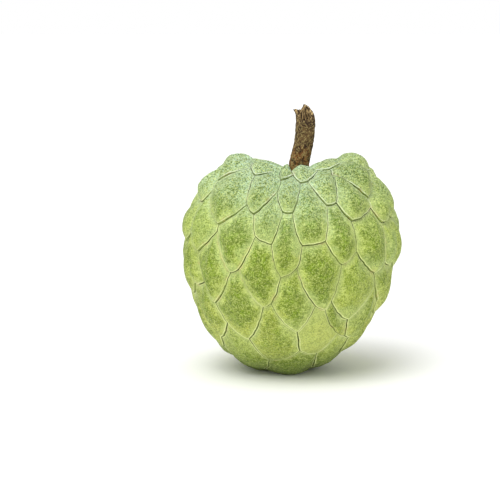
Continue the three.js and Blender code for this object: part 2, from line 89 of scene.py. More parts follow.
# Scales that face the front, row by row from the stem down: (theta, phi, room).
# theta is 0 at the stem and 180 at the apex, phi is -90 at the front and 0 at +X, both in degrees;
# room (mm2) lets a scale grow over its neighbours, or gives way to them where it is negative.
# Not hand-chosen: a least-squares program, not kept, set these values from most of the corners below.
FRONT_SCALES = (
    (16, -39.5, -19), (26, -137.5, -8), (26, -85.5, -4), (28.5, -109.5, -15), (36, -159, -12),
    (37, -67, 28), (38, -39.5, 33), (39, -122, 31), (43.5, -97, 26), (48.5, -142.5, 55), (51, -176, 0),
    (45.5, -50.5, 48), (52, -82.5, 55), (57, -106.5, 21), (59, -28.5, 1), (68.5, -150, 7),
    (65.5, -63, 24), (70, -177, 0), (71, -126, 38), (66.5, -95.5, 19), (76.5, -42, 54), (79, -26, 2),
    (87, -137.5, 30), (86, -109.5, 12), (89, -74.5, 22), (94, -153, -19), (98.5, -50, 55),
    (105.5, -86, 4), (99.5, -29, -12), (107.5, -122, 29), (116, -150.5, 13), (115, -36, 6),
    (117.5, -58.5, -12), (130.5, -99, 39), (127, -68.5, 15), (145, -133.5, 36), (147, -45.5, 3),
    (157, -84.5, 64),
)
# Scales round the back, in staggered rows between phi 0 and 180: (theta, how many).
BACK_ROWS = (
    (22, 3), (36, 4), (52, 6), (68, 7), (84, 7), (100, 7), (116, 6), (132, 5), (147, 4), (162, 3),
)
# Corners between the front scales: (theta, phi). Each in turn takes the nearest corner that is still free.
# All but one were placed by eye and turned into these angles by a program, which is not kept either.
FRONT_CORNERS = (
    (22, -119.5), (24, -51), (27, -99.5), (29.5, -56), (36, -133), (33, -143), (33, -109.5),
    (33, -83), (34.5, -90), (42, -108), (50.5, -63), (51.5, -70), (54, -125), (54, -36),
    (55, -100), (55.5, -93.5), (56, -160), (58, -118), (59.5, -37), (63, -55),
    (72.5, -138), (69, -138.5), (69, -30.5), (70, -113), (72, -73), (73.5, -103), (74, -86),
    (80, -54), (85.5, -63), (86, -151.5), (86, -88), (88.5, -120), (90.5, -29.5),
    (91, -125), (91, -96), (94.5, -38.5), (101, -146.5), (102, -34), (105.5, -66), (106, -101),
    (107.5, -75), (108, -105.5), (110, -68.5), (111, -139.5), (119, -49), (122, -134), (124, -84),
    (128, -51), (131, -120), (131, -43), (134, -150), (139, -79), (142, -61.5), (148, -108.5),
)
CORNER_REACH = 6  # how far a corner may be moved, in degrees
UNDERSIDE_SCALES = ((162, -60), (162, -120))  # two more under the front: (theta, phi)
COLLAR_ANGLE = 7  # theta of the circle round the stem where the scales end
COLLAR_SEED = 0.5  # theta of the collar's own seed
APEX_SEED = 179.5  # theta of the round scale at the apex
STAGGER = 0.25  # how far a row round the back is turned, as a share of its spacing
SCALE_SQUASH = 0.68  # a scale's width divided by its length

# Relief of a scale. Heights are measured from the bottom of the seam round it.
# Height of a scale's middle: (theta, height).
SWELL = ((0, 2.4), (25, 3.8), (50, 4.3), (75, 3.4), (110, 2.4), (140, 2.2), (180, 1.5))
SWELL_VARIES = 0.15  # share by which one scale differs from the next
SWELL_SEED = 7
TIP_RIM = 0.34  # rim height at a scale's lower tip, as a share of its swell
TOP_RIM = 0.16  # the same at its upper end, which is tucked under the scales above
RIM_WIDTH = 0.3  # from the bottom of the seam to the rim
FRAME_WIDTH = 1.2  # from the seam to where the cushion in the middle begins
RIM_RINGS = (0.04, 0.11, 0.2, 0.32, 0.7)  # distances from the seam of the fine rings that round off the rim
RIM_TAPER = 2.2  # the higher, the more of the rim's height is near the tip
RIM_LIMIT = 0.25  # its rings are never further from the seam than this share of the way to the middle
FRAME_LIMIT = 0.3  # the same for the frame
CUSHION_FOOT = 1.2  # the higher, the flatter the cushion begins inside the rim
CUSHION_CROWN = 2.0  # the higher, the flatter it is in the middle
PEAK_LOW = 0.12  # how far below its middle a scale stands out most, as a share of its length
SEAM_SINK = 0.72  # share of the swell by which the seams lie below the bare body
TIP_BULGE = 0.08  # how far a scale's lower edges bow outwards, as a share of their length
SEAM_WOBBLE = 0.4  # how far a seam strays from its curve
WOBBLE_LENGTH = 2.6  # spacing of those strays along it

# Small lumps on the scales, highest on the upper ones.
PEBBLE_SIZE = 2.6  # how far apart they are
GRIT_SIZE = 1.2  # the same for the finer lumps on them
GRIT_SHARE = 0.5  # height of the grit, as a share of the pebbles'
GRIT_SHIFT = 50  # how far away the grit's pattern is taken from, so that it is not the pebbles' own
PEBBLED_BAND = (30, 95)  # theta over which the lumps get lower
PEBBLED_SHARES = (1.0, 0.35)  # share of their height at either end of it
PEBBLE_EDGE = 1.6  # distance from the seam over which they rise to their height

# How deep the green in the middle of a scale is, from 0 to 1.
SUNNED_SIDE = (-0.42, -0.9, -0.05)  # direction in which it is deepest
SUNNED_REACH = (0.25, 0.9)  # how far a scale faces that way, as a cosine, from where to where it gets deeper
SUNNED_DEPTHS = (0.35, 0.95)  # depth at either end of that
DEPTH_VARIES = 0.3  # difference between the least and the most that chance gives a scale
DEPTH_SEED = 41
# Scales with a depth of their own: {place in the list of scales: depth}.
OWN_DEPTHS = {
    6: 0.8, 7: 1, 12: 1, 13: 0.9, 15: 0.6, 16: 0.35, 17: 1, 20: 1, 21: 0.7, 25: 0.95, 27: 0.3,
    34: 0.6, 35: 0, 36: 0.3,
}

RELAX_ROWS = 120  # rows of the grid on which the hidden scales spread out
RELAX_STEPS = 30
GRID_ROWS = 360  # rows of the grid on which corners are found
OBLIQUE = (0.31, 0.17, 0.93)  # no scale faces exactly this way, so turns round a scale are counted from it

COLLAR = 0  # place of the collar round the stem in the list of scales
COLLAR_DEPTH = 0.7  # how far the socket's rim lies below the bare body
SOCKET_RADIUS = 4.35
SOCKET_FLOOR = 70.9
# Rings of the collar over its rounded lip into the socket: (beyond the socket's radius, height over its rim).
LIP_RINGS = ((0.27, 0.12), (0, 0), (-0.05, -0.5))
SOCKET_TAPER = 0.1  # how much narrower the socket is at its floor

# Stem: (x, y, z, radius) along its middle, from the foot in the socket to where it was torn off.
STEM_PATH = (
    (4.8, 0, 71.4, 3.4), (4.8, 0, 75.5, 3.75), (4.9, 0, 78.5, 3.85), (5.55, 0.1, 82.0, 3.8),
    (6.4, 0.2, 85.6, 3.7), (7.0, 0.35, 89.5, 3.7), (7.3, 0.5, 94.5, 3.7),
)
# Lip of the torn end: (turn in degrees, distance from the stem's middle, height over the last ring).
# The front has broken away low down; the back wall stands and folds over, and a splinter points to -X.
TORN_LIP = (
    (0, 2.5, 4.2), (30, 1.9, 5.2), (60, 1.6, 5.8), (90, 1.4, 6.4), (115, 1.9, 6.3), (130, 2.2, 5.0),
    (150, 2.9, 4.2), (165, 3.4, 4.4), (180, 4.9, 4.8), (195, 3.5, 3.2), (215, 3.2, 1.6), (240, 3.2, 0.7),
    (270, 3.3, 0.8), (300, 3.3, 0.9), (330, 3.1, 2.2), (360, 2.5, 4.2),
)
STEM_RINGS = 70
TUBE_RADIUS = 3  # of the plain tube that the stem is extruded as, before each ring is given its place
KNOB_SIZE = 1.3  # how far apart the knobs of the bark are
WRINKLE_SIZE = 0.6  # the same for the finer ones on them
WRINKLE_SHARE = 0.6  # height of those, as a share of the knobs'
WALL_STEPS = (0.3, 0.58, 0.82, 1.0)  # rings of the torn wall, as shares of the lip's height
WALL_LUMPS = 3  # the more, the finer the torn wall's lumps are
FOLD_IN = 2  # the higher, the nearer to the lip the wall folds inwards
FOLD_OUT = 4  # the same where a splinter points outwards
RAGGED = 0.7  # height of the ragged points along the lip
RAGGED_LUMPS = 9  # the more, the closer together they are
RAGGED_LEAST = 0.3  # share of that height where the lip is level with the last ring
RAGGED_RISE = 5  # how much higher a lip would have to be for that share to grow by one
LIP_WIDTH = 0.8  # thickness of the wall along the lip
LIP_SLANT = 0.3  # how much lower its inner edge is
LIP_TORN = 0.5  # how torn the lip looks, where bark is 0 and bare wood is 1
HOLLOW_STEPS = (0, 0.35, 0.7, 1)  # rings from the lip's inner edge down into the hollow, as shares of the way
HOLLOW_RADIUS = 1.9
HOLLOW_DEPTH = 0.9  # how far the hollow in the torn end goes below the last ring
HOLLOW_TILT = 0.25  # how much of the lip's height its edge follows
HOLLOW_RIDGES = 0.25
RIDGE_LUMPS = 6  # the more, the closer together the ridges are
# Levels of the noise at which the wall, the ragged lip and the ridges have their patterns.
WALL_LEVEL = 9
RAGGED_LEVEL = 3.3
RIDGE_LEVEL = 5.5
HOLLOW_CORE = (1.0, 0.8)  # last ring round its deepest point: radius, and depth as a share of the hollow's
FIBRES = 16  # torn fibres that stand in the hollow
FIBRE_SEED = 23
FIBRE_SIDES = 6
# Each fibre draws its own values between these:
FIBRE_TURNS = (60, 330)  # its turn round the stem, in degrees, one after the other
FIBRE_REACH = (0.6, 2.2)  # its foot's distance from the stem's middle
FIBRE_LENGTH = (1.6, 4.4)
FIBRE_RADIUS = (0.14, 0.26)
FIBRE_LEAN_X = (-0.6, 0.4)  # how far it leans to +X and to +Y over a rise of FIBRE_RISE
FIBRE_LEAN_Y = (-0.3, 0.2)
FIBRE_RISE = 2.2
FIBRE_TAPER = 0.3  # radius at a fibre's tip, as a share of that at its foot
FIBRE_SINK = 0.6  # how far below the stem's last ring its foot stands


# ---------------------------------------------------------------- the bare body


def spline_point(points, t):
    """A point at share t of a Catmull-Rom curve through points, whose two ends only steer it."""
    spans = len(points) - 3
    i = min(int(t * spans), spans - 1)
    u = t * spans - i
    a, b, c, d = (np.asarray(p, float) for p in points[i : i + 4])
    bend = (2 * a - 5 * b + 4 * c - d) * u**2
    return 0.5 * (2 * b + (c - a) * u + bend + (3 * b - a - 3 * c + d) * u**3)


def even_outline(points):
    """Points evenly spaced along an outline, whose ends are mirrored so that it crosses the axis level."""
    second, last_but_one = points[1], points[-2]
    mirrored = [(-second[0], second[1]), *points, (-last_but_one[0], last_but_one[1])]
    steps = SPAN_STEPS * (len(points) - 1)
    dense = np.array([spline_point(mirrored, k / steps) for k in range(steps + 1)])
    travelled = np.concatenate([[0], np.cumsum(np.linalg.norm(np.diff(dense, axis=0), axis=1))])
    goals = np.linspace(0, travelled[-1], OUTLINE_SAMPLES)
    return np.stack([np.interp(goals, travelled, dense[:, 0]), np.interp(goals, travelled, dense[:, 1])], -1)


RIGHT, FRONT, LEFT, BACK = (
    even_outline(outline) for outline in (RIGHT_OUTLINE, FRONT_OUTLINE, LEFT_OUTLINE, BACK_OUTLINE)
)


def smooth(t):
    """Eases a share from 0 to 1 in and out."""
    return t * t * (3 - 2 * t)


def body_point(theta, phi):
    """Places on the bare body from their angles, in radians."""
    place = np.clip(theta, 0, math.pi) / math.pi * (OUTLINE_SAMPLES - 1)
    i = np.minimum(place.astype(int), OUTLINE_SAMPLES - 2)
    u = (place - i)[..., None]
    right, front, left, back = (line[i] * (1 - u) + line[i + 1] * u for line in (RIGHT, FRONT, LEFT, BACK))
    side = np.where(np.cos(phi)[..., None] > 0, right, left)
    face = np.where(np.sin(phi)[..., None] < 0, front, back)
    share = smooth(np.cos(phi) ** 2)[..., None]
    r, z = np.moveaxis(face * (1 - share) + side * share, -1, 0)
    lean = AXIS_LEAN * np.clip(z / LEAN_HEIGHT, 0, 1) ** 2
    return np.stack([r * np.cos(phi) + lean, r * np.sin(phi), z], -1)


def direction(theta, phi):
    """Angles as unit vectors, so that nothing special happens at the stem and at the apex."""
    return np.stack([np.sin(theta) * np.cos(phi), np.sin(theta) * np.sin(phi), np.cos(theta) + 0 * phi], -1)


def angles(dirs):
    """Directions as theta and phi, in radians."""
    return np.arccos(np.clip(dirs[..., 2], -1, 1)), np.arctan2(dirs[..., 1], dirs[..., 0])


def unit(vectors):
    return vectors / np.linalg.norm(vectors, axis=-1, keepdims=True)


def body_at(dirs):
    """Places on the bare body in those directions."""
    return body_point(*angles(dirs))


def normals_at(dirs):
    """Outward normals of the bare body."""
    across = np.cross([0.0, 0.0, 1.0], dirs)
    flat = np.linalg.norm(across, axis=-1) < NEAR_AXIS
    across[flat] = (0, 1, 0)
    across = unit(across)
    down = np.cross(dirs, across)

    def slope(t):
        return body_at(unit(dirs + NORMAL_STEP * t)) - body_at(unit(dirs - NORMAL_STEP * t))

    return unit(np.cross(slope(across), slope(down)))


# ---------------------------------------------------------------- where the scales are


class Scales:
    """The seeds of the scales: their directions, places, ways down the body, room and shape."""

    def __init__(self):
        # (theta, phi, room, whether it stays in its place, whether it is round)
        seeds = [(COLLAR_SEED, 0, 0, True, True)]
        seeds += [(theta, phi, room, True, False) for theta, phi, room in FRONT_SCALES]
        seeds += [(APEX_SEED, 0, 0, True, True)]
        for row, (theta, count) in enumerate(BACK_ROWS):
            stagger = STAGGER if row % 2 else -STAGGER
            seeds += [(theta, 180 * (k + 0.5 + stagger) / count, 0, False, False) for k in range(count)]
        seeds += [(theta, phi, 0, False, False) for theta, phi in UNDERSIDE_SCALES]
        theta, phi, self.room, self.fixed, self.round = (np.array(column) for column in zip(*seeds))
        self.aim(direction(np.radians(theta), np.radians(phi)))

    def __len__(self):
        return len(self.room)

    def aim(self, dirs):
        """Moves the seeds to those directions."""
        self.dirs = dirs
        theta, phi = angles(dirs)
        self.theta = np.degrees(theta)
        self.places = body_point(theta, phi)
        self.down = unit(body_point(theta + NORMAL_STEP, phi) - body_point(theta - NORMAL_STEP, phi))

    def owners(self, dirs, points):
        """Which scale covers each point of the body; within the collar's circle that is the collar."""
        best = np.zeros(points.shape[:-1], int)
        least = np.full(points.shape[:-1], np.inf)
        for i in range(COLLAR + 1, len(self)):
            away = points - self.places[i]
            lengthwise = 0 if self.round[i] else away @ self.down[i]
            reach = (away * away).sum(-1) - (1 - SCALE_SQUASH**2) * lengthwise**2 - self.room[i]
            closer = reach < least
            best[closer] = i
            least[closer] = reach[closer]
        best[dirs[..., 2] > math.cos(math.radians(COLLAR_ANGLE))] = COLLAR
        return best

    def spread_evenly(self):
        """The hidden scales move to the middle of their own patch of skin, again and again."""
        dirs, points = sample_grid(RELAX_ROWS)
        down = points[2:] - points[:-2]
        across = (np.roll(points, -1, axis=1) - points)[1:-1]
        area = np.linalg.norm(np.cross(down, across), axis=-1).ravel()
        dirs, points = dirs[1:-1].reshape(-1, 3), points[1:-1].reshape(-1, 3)
        for _ in range(RELAX_STEPS):
            owners = self.owners(dirs, points)
            middles = np.stack(
                [np.bincount(owners, area * dirs[:, axis], len(self)) for axis in range(3)], -1
            )
            self.aim(np.where(self.fixed[:, None], self.dirs, unit(middles)))


def sample_grid(rows):
    """Directions and points all over the bare body, in rows from stem to apex."""
    theta = np.linspace(0, math.pi, rows)[:, None]
    phi = (np.arange(2 * rows) / rows * math.pi - math.pi)[None, :]
    dirs = direction(theta + 0 * phi, phi + 0 * theta)
    return dirs, body_at(dirs)


# ---------------------------------------------------------------- the seams between the scales


def pebbles(points, size):
    """Noise between about -1 and 1 whose lumps are that many millimetres across."""
    return np.array([noise.noise(Vector(p / size)) for p in points])


def onto_collar(dirs):
    """The nearest directions on the collar's circle."""
    angle = math.radians(COLLAR_ANGLE)
    flat = unit(dirs[..., :2]) * math.sin(angle)
    return np.concatenate([flat, np.full((*flat.shape[:-1], 1), math.cos(angle))], -1)


def find_corners(scales):
    """The corners where three scales meet: {(a, b, c): direction}."""
    dirs, points = sample_grid(GRID_ROWS)
    owners = scales.owners(dirs, points)
    owners_right, dirs_right = np.roll(owners, -1, axis=1), np.roll(dirs, -1, axis=1)
    upper = ((owners[:-1], dirs[:-1]), (owners_right[:-1], dirs_right[:-1]), (owners[1:], dirs[1:]))
    lower = ((owners_right[:-1], dirs_right[:-1]), (owners_right[1:], dirs_right[1:]), (owners[1:], dirs[1:]))
    corners = {}
    # Each square of the grid is two triangles. A corner lies in one whose three points have three owners.
    for (a, dir_a), (b, dir_b), (c, dir_c) in (upper, lower):
        for i, j in zip(*np.nonzero((a != b) & (b != c) & (a != c))):
            key = tuple(sorted((int(a[i, j]), int(b[i, j]), int(c[i, j]))))
            corners[key] = corners.get(key, 0) + dir_a[i, j] + dir_b[i, j] + dir_c[i, j]
    corners = {key: onto_collar(d) if key[0] == COLLAR else unit(d) for key, d in corners.items()}
    free = [key for key in corners if key[0] != COLLAR]
    for theta, phi in FRONT_CORNERS:
        goal = direction(*np.radians((theta, phi)))
        nearest = max(free, key=lambda key: corners[key] @ goal)
        if corners[nearest] @ goal < math.cos(math.radians(CORNER_REACH)):
            raise RuntimeError(f"no corner is near theta {theta}, phi {phi}")
        free.remove(nearest)
        corners[nearest] = goal
    return corners


def seam_between(scales, a, b, start, end, step):
    """Directions along the seam of scales a and b, from one corner to the other and without the corners.

    The seam bows towards the lower of the two, whose upper end the other one covers, and strays a little.
    """
    length = np.linalg.norm(body_at(start) - body_at(end))
    parts = max(1, round(length / step))
    over = scales.dirs[b] - scales.dirs[a]
    apart = np.linalg.norm(over)
    lower = math.radians(scales.theta[b] - scales.theta[a]) / apart
    bow = over / apart * TIP_BULGE * lower * np.linalg.norm(start - end)
    t = (np.arange(1, parts) / parts)[:, None]
    straight = start * (1 - t) + end * t
    if a == COLLAR:
        return onto_collar(straight)
    curve = unit(straight + bow * 4 * t * (1 - t))
    stray = pebbles(body_at(curve), WOBBLE_LENGTH)[:, None] * np.minimum(1, 6 * t * (1 - t))
    return unit(curve + over / apart * SEAM_WOBBLE / BODY_RADIUS * stray)


def trace_outlines(scales, step):
    """The seam network: directions of its points, and for each scale the points round it in order."""
    corners = find_corners(scales)
    net = list(corners.values())
    number = {key: k for k, key in enumerate(corners)}
    seams = {}
    outlines = []
    for i in range(len(scales)):
        own = [key for key in corners if i in key]
        east = unit(np.cross(scales.dirs[i], OBLIQUE))
        north = np.cross(scales.dirs[i], east)
        own.sort(key=lambda key: math.atan2(corners[key] @ north, corners[key] @ east))
        outline = []
        for start, end in zip(own, own[1:] + own[:1]):
            shared = [s for s in start if s != i and s in end]
            if not shared:
                raise RuntimeError(f"scale {i} has a gap in its outline")
            pair = tuple(sorted((i, shared[0])))
            if pair not in seams:
                inner = seam_between(scales, *pair, corners[start], corners[end], step)
                seams[pair] = (start, list(range(len(net), len(net) + len(inner))))
                net += list(inner)
            first, numbers = seams[pair]
            outline += [number[start], *(numbers if first == start else numbers[::-1])]
        outlines.append(outline)
    return np.array(net), outlines


# ---------------------------------------------------------------- the skin


def seeded_series(seed):
    """A repeatable series of numbers between 0 and 1."""
    factor = 16807
    limit = 2147483647
    state = seed
    while True:
        state = state * factor % limit
        yield state / limit


class SkinBuilder:
    """Collects the skin's points ring by ring, with the values that its colours follow.

    seam is a point's distance from the seam, in millimetres. deep is how deep the green in the middle of its
    scale is. lie tells where on the scale it lies: -1 at the upper end, 0 in the middle, 1 at the lower tip.
    placed holds the points that have a place of their own, and none on the skin's relief.
    """

    def __init__(self, net):
        self.dirs = [net]
        self.heights = [np.zeros(len(net))]
        self.values = {name: [np.zeros(len(net))] for name in ("seam", "lie", "deep")}
        self.count = len(net)
        self.faces = []
        self.placed = {}

    def add(self, dirs, heights, **values):
        """Adds a ring of points and gives back their numbers."""
        start = self.count
        self.dirs.append(dirs)
        self.heights.append(np.broadcast_to(heights, len(dirs)))
        for name, made in self.values.items():
            made.append(np.broadcast_to(values.get(name, 0.0), len(dirs)))
        self.count += len(dirs)
        return list(range(start, self.count))

    def bridge(self, rings):
        """Faces from each ring to the next, the last of which may be a single point."""
        for outer, inner in zip(rings, rings[1:]):
            for k in range(len(outer)):
                after = (k + 1) % len(outer)
                if len(inner) == 1:
                    self.faces.append((outer[k], outer[after], inner[0]))
                else:
                    self.faces.append((outer[k], outer[after], inner[after], inner[k]))


def add_scale(skin, scales, i, net, outline, swell, deep, settings):
    """One scale: rings that rise steeply from the seam to its rim and then swell gently to its middle."""
    edge = net[outline]
    middle = unit(edge.sum(0))
    length = np.ptp((body_at(edge) - body_at(middle)) @ scales.down[i])
    if not scales.round[i]:
        middle = unit(middle + scales.down[i] * PEAK_LOW * length / BODY_RADIUS)
    spokes = body_at(edge) - body_at(middle)
    lengths = np.linalg.norm(spokes, axis=1)
    lie = (spokes @ scales.down[i]) / lengths
    rim = swell * (TOP_RIM + (TIP_RIM - TOP_RIM) * ((1 + lie) / 2) ** RIM_TAPER)
    frame_width = np.minimum(FRAME_WIDTH, FRAME_LIMIT * lengths)
    inner_shares = np.linspace(0, 1, settings.inner_rings + 1)[:-1]
    rings = [outline]
    distances = [np.minimum(distance, RIM_LIMIT * lengths) for distance in RIM_RINGS]
    distances += [frame_width + (lengths - frame_width) * share for share in inner_shares]
    for distance in distances:
        t = distance / lengths
        edge_rise = np.sqrt(1 - (1 - np.clip(distance / RIM_WIDTH, 0, 1)) ** 2)
        cushion = np.clip((distance - RIM_WIDTH) / (lengths - RIM_WIDTH), 0, 1)
        height = rim * edge_rise + (swell - rim) * (1 - (1 - cushion**CUSHION_FOOT) ** CUSHION_CROWN)
        dirs = unit(edge * (1 - t[:, None]) + middle * t[:, None])
        rings.append(skin.add(dirs, height, seam=distance, lie=lie * (1 - t), deep=deep))
    rings.append(skin.add(middle[None], swell, seam=lengths.mean(), deep=deep))
    skin.bridge(rings)


def add_collar(skin, net, outline):
    """The narrow collar round the stem, which drops into the socket for its foot."""
    foot = np.array(STEM_PATH[0][:2])
    outwards = unit(body_at(net[outline])[:, :2] - foot)
    rim_height = FRONT_OUTLINE[0][1] - COLLAR_DEPTH
    sizes = [(SOCKET_RADIUS + beyond, rim_height + over) for beyond, over in LIP_RINGS]
    sizes += [(SOCKET_RADIUS - SOCKET_TAPER, SOCKET_FLOOR)]
    rings = [outline]
    for radius, height in sizes:
        ring = skin.add(net[outline], 0)
        skin.placed.update({n: (*(foot + radius * out), height) for n, out in zip(ring, outwards)})
        rings.append(ring)
    floor = skin.add(np.array([[0, 0, 1.0]]), 0)
    skin.placed[floor[0]] = (*foot, SOCKET_FLOOR)
    rings.append(floor)
    skin.bridge(rings)


def scale_depths(scales):
    """How deep the green in each scale's middle is, from 0 to 1: deepest on the side that had most sun."""
    sunned = np.clip(scales.dirs @ np.array(SUNNED_SIDE), -1, 1)
    series = seeded_series(DEPTH_SEED)
    drawn = np.array([next(series) for _ in range(len(scales))])
    depths = np.interp(sunned, SUNNED_REACH, SUNNED_DEPTHS) + DEPTH_VARIES * (drawn - 0.5)
    for i, depth in OWN_DEPTHS.items():
        depths[i] = depth
    return np.clip(depths, 0, 1)


def make_skin(settings):
    """The skin's mesh, with the values that its colours follow as attributes."""
    scales = Scales()
    scales.spread_evenly()
    net, outlines = trace_outlines(scales, settings.seam_step / MM)
    skin = SkinBuilder(net)
    series = seeded_series(SWELL_SEED)
    depths = scale_depths(scales)
    for i, outline in enumerate(outlines):
        swell = np.interp(scales.theta[i], *zip(*SWELL)) * (1 + SWELL_VARIES * (2 * next(series) - 1))
        if i == COLLAR:
            add_collar(skin, net, outline)
        else:
            add_scale(skin, scales, i, net, outline, swell, depths[i], settings)
    dirs = np.concatenate(skin.dirs)
    heights = np.concatenate(skin.heights)
    values = {name: np.concatenate(made) for name, made in skin.values.items()}
    theta = np.degrees(angles(dirs)[0])
    bare = body_at(dirs)
    pebbled = np.interp(theta, PEBBLED_BAND, PEBBLED_SHARES)
    grown = np.interp(values["seam"], (0, PEBBLE_EDGE), (0, 1))
    lump = pebbles(bare, PEBBLE_SIZE) + GRIT_SHARE * pebbles(bare + GRIT_SHIFT, GRIT_SIZE)
    heights = heights + settings.pebble_height / MM * pebbled * grown * lump
    sink = SEAM_SINK * np.interp(theta, *zip(*SWELL))
    points = bare + normals_at(dirs) * (heights - sink)[:, None]
    for number, place in skin.placed.items():
        points[number] = place
    points[:, 2] = np.maximum(points[:, 2], 0)  # pressed flat by the fruit's weight
    mesh = bpy.data.meshes.new("fruit_skin")
    mesh.from_pydata([tuple(p) for p in points * MM], [], skin.faces)
    values["theta"] = theta / 180
    for name, made in values.items():
        mesh.attributes.new(name, "FLOAT", "POINT").data.foreach_set("value", made.astype(np.float32))
    mesh.polygons.foreach_set("use_smooth", [True] * len(mesh.polygons))
    mesh.update()
    return mesh


# ---------------------------------------------------------------- node helpers


class Tree:
    """Adds nodes to a node tree, each with one short call; a value may be a number, a colour or a socket."""

    def __init__(self, tree):
        self.tree = tree

    def add(self, kind, output=0, values=(), **settings):
        """One node; gives back that output of it, or the node itself where output is None."""
        node = self.tree.nodes.new(kind)
        for name, value in settings.items():
            setattr(node, name, value)
        for place, value in dict(values).items():
            self.feed(node.inputs[place], value)
        return node if output is None else node.outputs[output]

    def feed(self, socket, value):
        if isinstance(value, bpy.types.NodeSocket):
            self.tree.links.new(value, socket)
        elif socket.type == "RGBA" and len(value) == 3:
            socket.default_value = (*value, 1)
        else:
            socket.default_value = value

    def maths(self, operation, a, b):
        return self.add("ShaderNodeMath", 0, {0: a, 1: b}, operation=operation)

    def product(self, *factors):
        result = factors[0]
        for factor in factors[1:]:
            result = self.maths("MULTIPLY", result, factor)
        return result

    def blend(self, share, a, b):
        """Goes from colour a to colour b while share goes from 0 to 1."""
        return self.add("ShaderNodeMix", 2, {0: share, 6: a, 7: b}, data_type="RGBA")

    def step(self, value, low, high, bottom=0.0, top=1.0):
        """Goes smoothly from bottom to top while value goes from low to high."""
        values = {0: value, 1: low, 2: high, 3: bottom, 4: top}
        return self.add("ShaderNodeMapRange", 0, values, interpolation_type="SMOOTHSTEP")

    def ease(self, mask, bottom, top):
        """Goes smoothly from bottom to top while mask goes from 0 to 1."""
        return self.step(mask, 0.0, 1.0, bottom, top)

    def value_of(self, name):
        """An attribute of the mesh."""
        return self.add("ShaderNodeAttribute", 2, attribute_name=name)

    def place(self):
        """Object coordinates."""
        return self.add("ShaderNodeTexCoord", 3)


MOTTLE_INPUTS = (("Patches per mm", 0.3), ("Specks per mm", 2.0), ("Speck share", 0.5))
MOTTLE_DETAILS = (("Patches per mm", 3.0), ("Specks per mm", 2.0))
MOTTLE_OUTPUTS = ("Patches", "Specks", "Mottle")
NOISE_SPREAD = (0.34, 0.66)  # values of the noise that are stretched to 0 and 1


def mottle_group():
    """Patches and fine specks of a mottled surface, for the skin and the bark alike."""
    group = bpy.data.node_groups.get("mottle")
    if group:
        return group
    group = bpy.data.node_groups.new("mottle", "ShaderNodeTree")
    group.interface.new_socket("Place", in_out="INPUT", socket_type="NodeSocketVector")
    for name, default in MOTTLE_INPUTS:
        socket = group.interface.new_socket(name, in_out="INPUT", socket_type="NodeSocketFloat")
        socket.default_value = default
    for name in MOTTLE_OUTPUTS:
        group.interface.new_socket(name, in_out="OUTPUT", socket_type="NodeSocketFloat")
    tree = Tree(group)
    given = group.nodes.new("NodeGroupInput").outputs
    result = group.nodes.new("NodeGroupOutput").inputs
    layers = []
    for name, detail in MOTTLE_DETAILS:
        scale = tree.maths("MULTIPLY", given[name], 1 / MM)
        values = {"Vector": given["Place"], "Scale": scale, "Detail": detail}
        layers.append(tree.step(tree.add("ShaderNodeTexNoise", 0, values), *NOISE_SPREAD))
    patches, specks = layers
    share = given["Speck share"]
    kept = tree.maths("MULTIPLY", patches, tree.maths("SUBTRACT", 1.0, share))
    mottle = tree.maths("ADD", kept, tree.maths("MULTIPLY", specks, share))
    for name, socket in zip(MOTTLE_OUTPUTS, (patches, specks, mottle)):
        tree.feed(result[name], socket)
    return group


def mottled(tree, patches_per_mm, specks_per_mm, speck_share=0.5):
    """The outputs of a mottle of that coarseness over the piece."""
    node = tree.add("ShaderNodeGroup", None, node_tree=mottle_group())
    tree.feed(node.inputs["Place"], tree.place())
    for (name, _), value in zip(MOTTLE_INPUTS, (patches_per_mm, specks_per_mm, speck_share)):
        node.inputs[name].default_value = value
    return node.outputs


def new_material(name):
    """A material, its tree and its shader, which is joined to the output."""
    material = bpy.data.materials.new(name)
    material.use_nodes = True
    material.node_tree.nodes.clear()
    tree = Tree(material.node_tree)
    shader = tree.add("ShaderNodeBsdfPrincipled", None)
    output = tree.add("ShaderNodeOutputMaterial", None)
    material.node_tree.links.new(shader.outputs["BSDF"], output.inputs["Surface"])
    return material, tree, shader


# ---------------------------------------------------------------- how the skin is coloured

# Along the fruit: where a change of colour begins and is complete, as shares of theta from stem to apex.
POWDERED = (0.46, 0.12)  # the upper scales
RIPE = (0.5, 0.7)  # the lower scales
SHADED = (0.75, 0.83)  # the underside, painted darker as shade near the floor
CONTACT_SHADE = (0.78, 0.88)  # the apex, painted darker as contact shade on the floor
WIDER_LINES = (0.5, 0.65)
WIDER_GROOVES = (0.5, 0.6)
# Across a scale: the same, as millimetres from its seam.
MIDDLE = (0.8, 5.6)
WANDER = 1.3  # how far the edge of the middle strays
BORDER = (3.4, 0.5)
# The crease is where deep green is painted as shade beside a seam; the groove widths are where the dark seam
# colour is painted as shade.
CREASE_SHADE = (0.9, 0.2)
RUST = (1.5, 0.2)
LINE_OUTSIDE = (0.16, 0.28)
LINE_INSIDE = (0.66, 0.4)
GROOVE_WIDTH = 0.2
TIP_GROOVE_WIDTH = 0.26
LOW_GROOVE_WIDTH = 0.36
# Across the fruit: where the bloom is laid thinner towards +X, as x in metres. Besides less bloom, this is
# painted shade on the side away from the key light.
BLOOM_THINNED_AS_SHADE = (4 * MM, 24 * MM)
# Up the stem: where the warm colour of its foot ends and is full, as z in metres.
WARM_FOOT = (90 * MM, 80 * MM)
ALONG_STEM = (1, 1, 0.15)  # scale of the torn wood's pattern, which is drawn out along the stem


